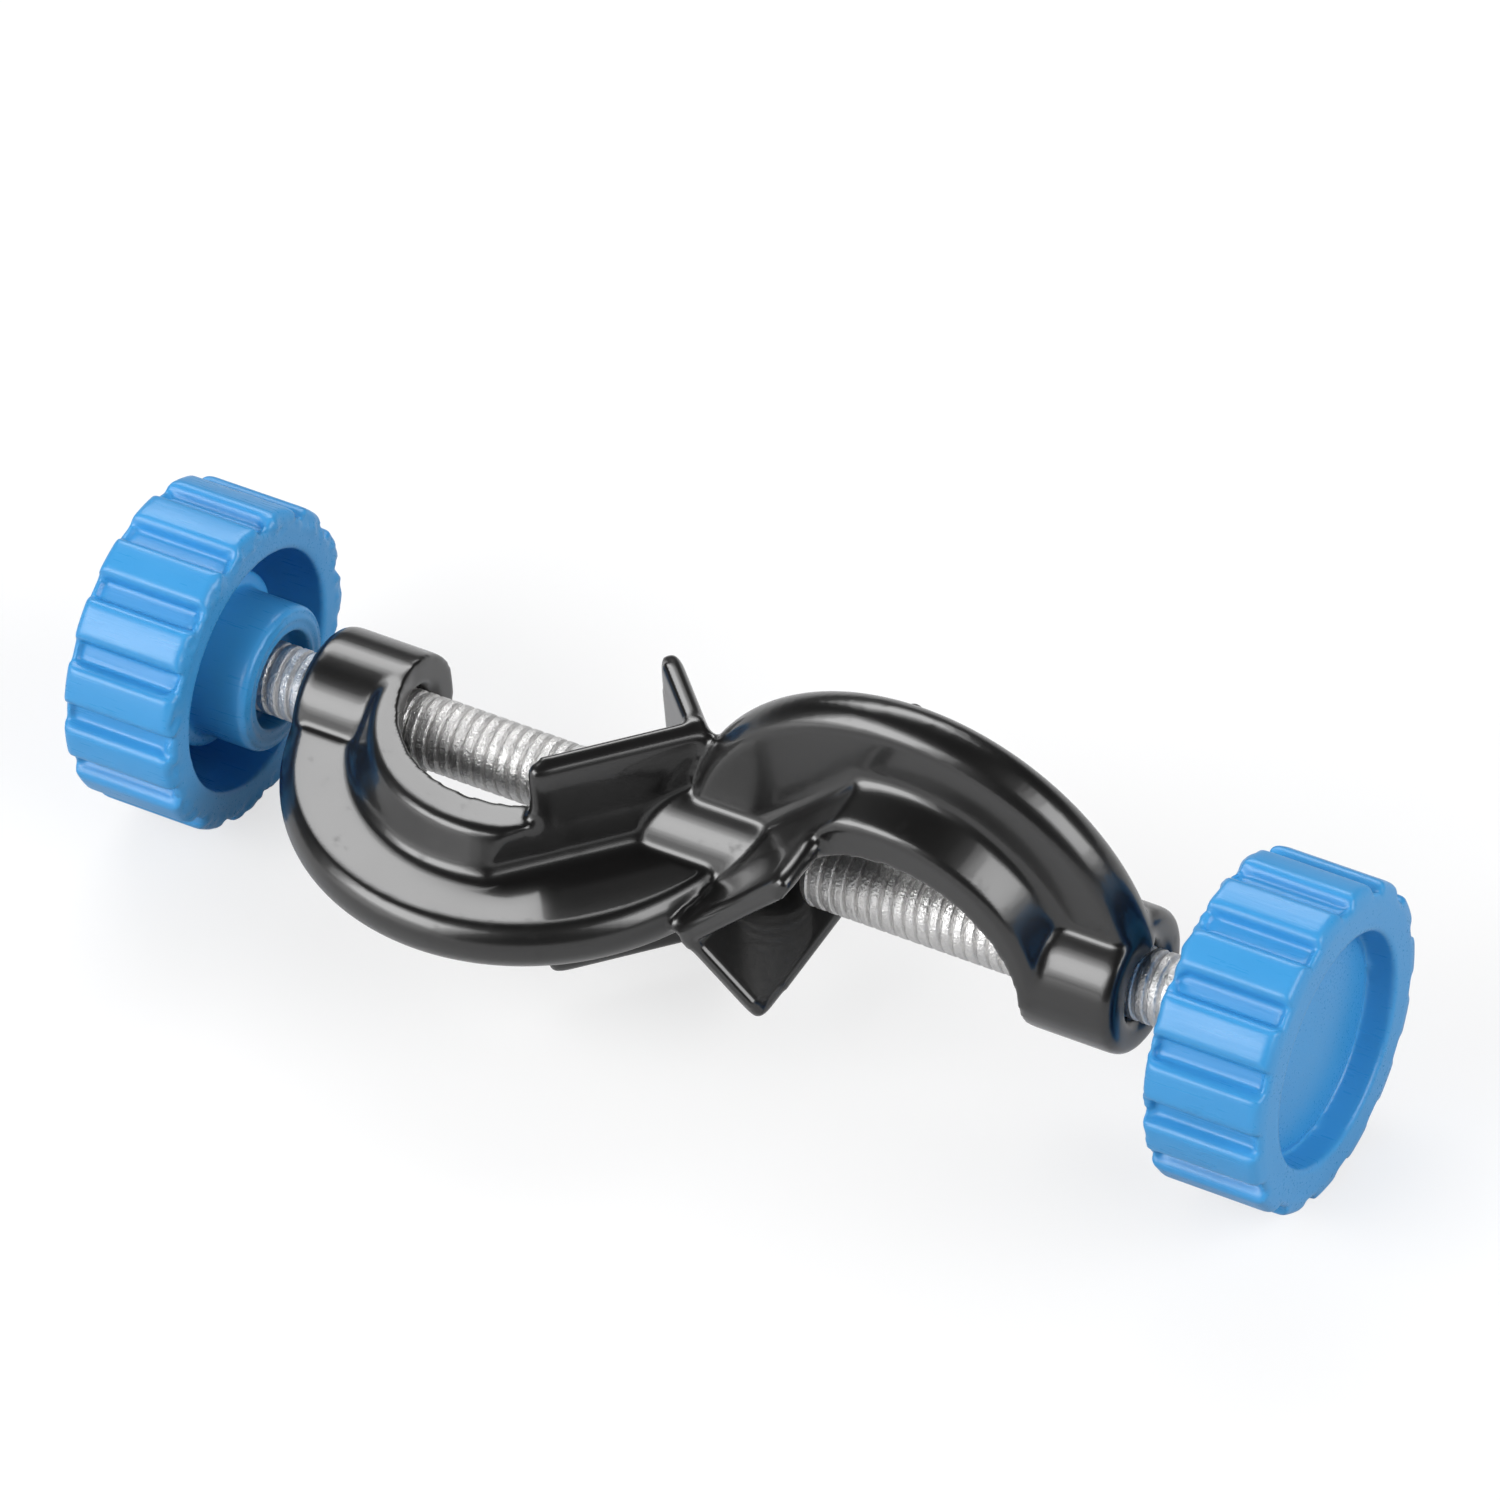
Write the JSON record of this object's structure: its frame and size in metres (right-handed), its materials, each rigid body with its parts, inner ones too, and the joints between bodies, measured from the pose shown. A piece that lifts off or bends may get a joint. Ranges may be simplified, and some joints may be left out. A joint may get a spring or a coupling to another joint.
{
  "type": "boss head clamp",
  "caption": "Right-angle boss head clamp: an S-shaped casting with two V jaws at right angles, each closed by a screw with a ribbed knob.",
  "frame": {"origin": "centre of the whole clamp's bounding box; the screw axis runs 4.8 mm from it towards +Y and 4.8 mm towards -Z", "axes": "+X along the screw axis towards the right knob, +Z along the upright rod in the left jaw, +Y along the cross rod in the right jaw"},
  "size_m": [0.1426, 0.0456, 0.0456],
  "materials": {
    "black_casting": "gloss black coating on die-cast aluminium alloy",
    "zinc_steel": "bright zinc plate",
    "blue_plastic": "moulded, semi-gloss"
  },
  "bodies": {
    "casting": {"body_casting": "black_casting"},
    "left_screw": {"left_screw": "zinc_steel"},
    "left_knob": {"left_knob": "blue_plastic"},
    "right_screw": {"right_screw": "zinc_steel"},
    "right_knob": {"right_knob": "blue_plastic"}
  },
  "joints": [
    {"name": "left_screw_travel", "type": "slide", "parent": "casting", "child": "left_screw", "axis": [-1, 0, 0], "range_m": [-0.00141, 0.02822]},
    {"name": "left_knob_turn", "type": "hinge", "parent": "left_screw", "child": "left_knob", "pos_m": [-0.06, 0.00478, -0.00478], "axis": [-1, 0, 0], "range_deg": [-360, 7200]},
    {"name": "right_screw_travel", "type": "slide", "parent": "casting", "child": "right_screw", "axis": [1, 0, 0], "range_m": [-0.00141, 0.02822]},
    {"name": "right_knob_turn", "type": "hinge", "parent": "right_screw", "child": "right_knob", "pos_m": [0.06, 0.00478, -0.00478], "axis": [1, 0, 0], "range_deg": [-360, 7200]}
  ],
  "couplings": [
    {"joint": "left_screw_travel", "follows": "left_knob_turn", "m_per_rad": 0.00022457},
    {"joint": "right_screw_travel", "follows": "right_knob_turn", "m_per_rad": 0.00022457}
  ]
}
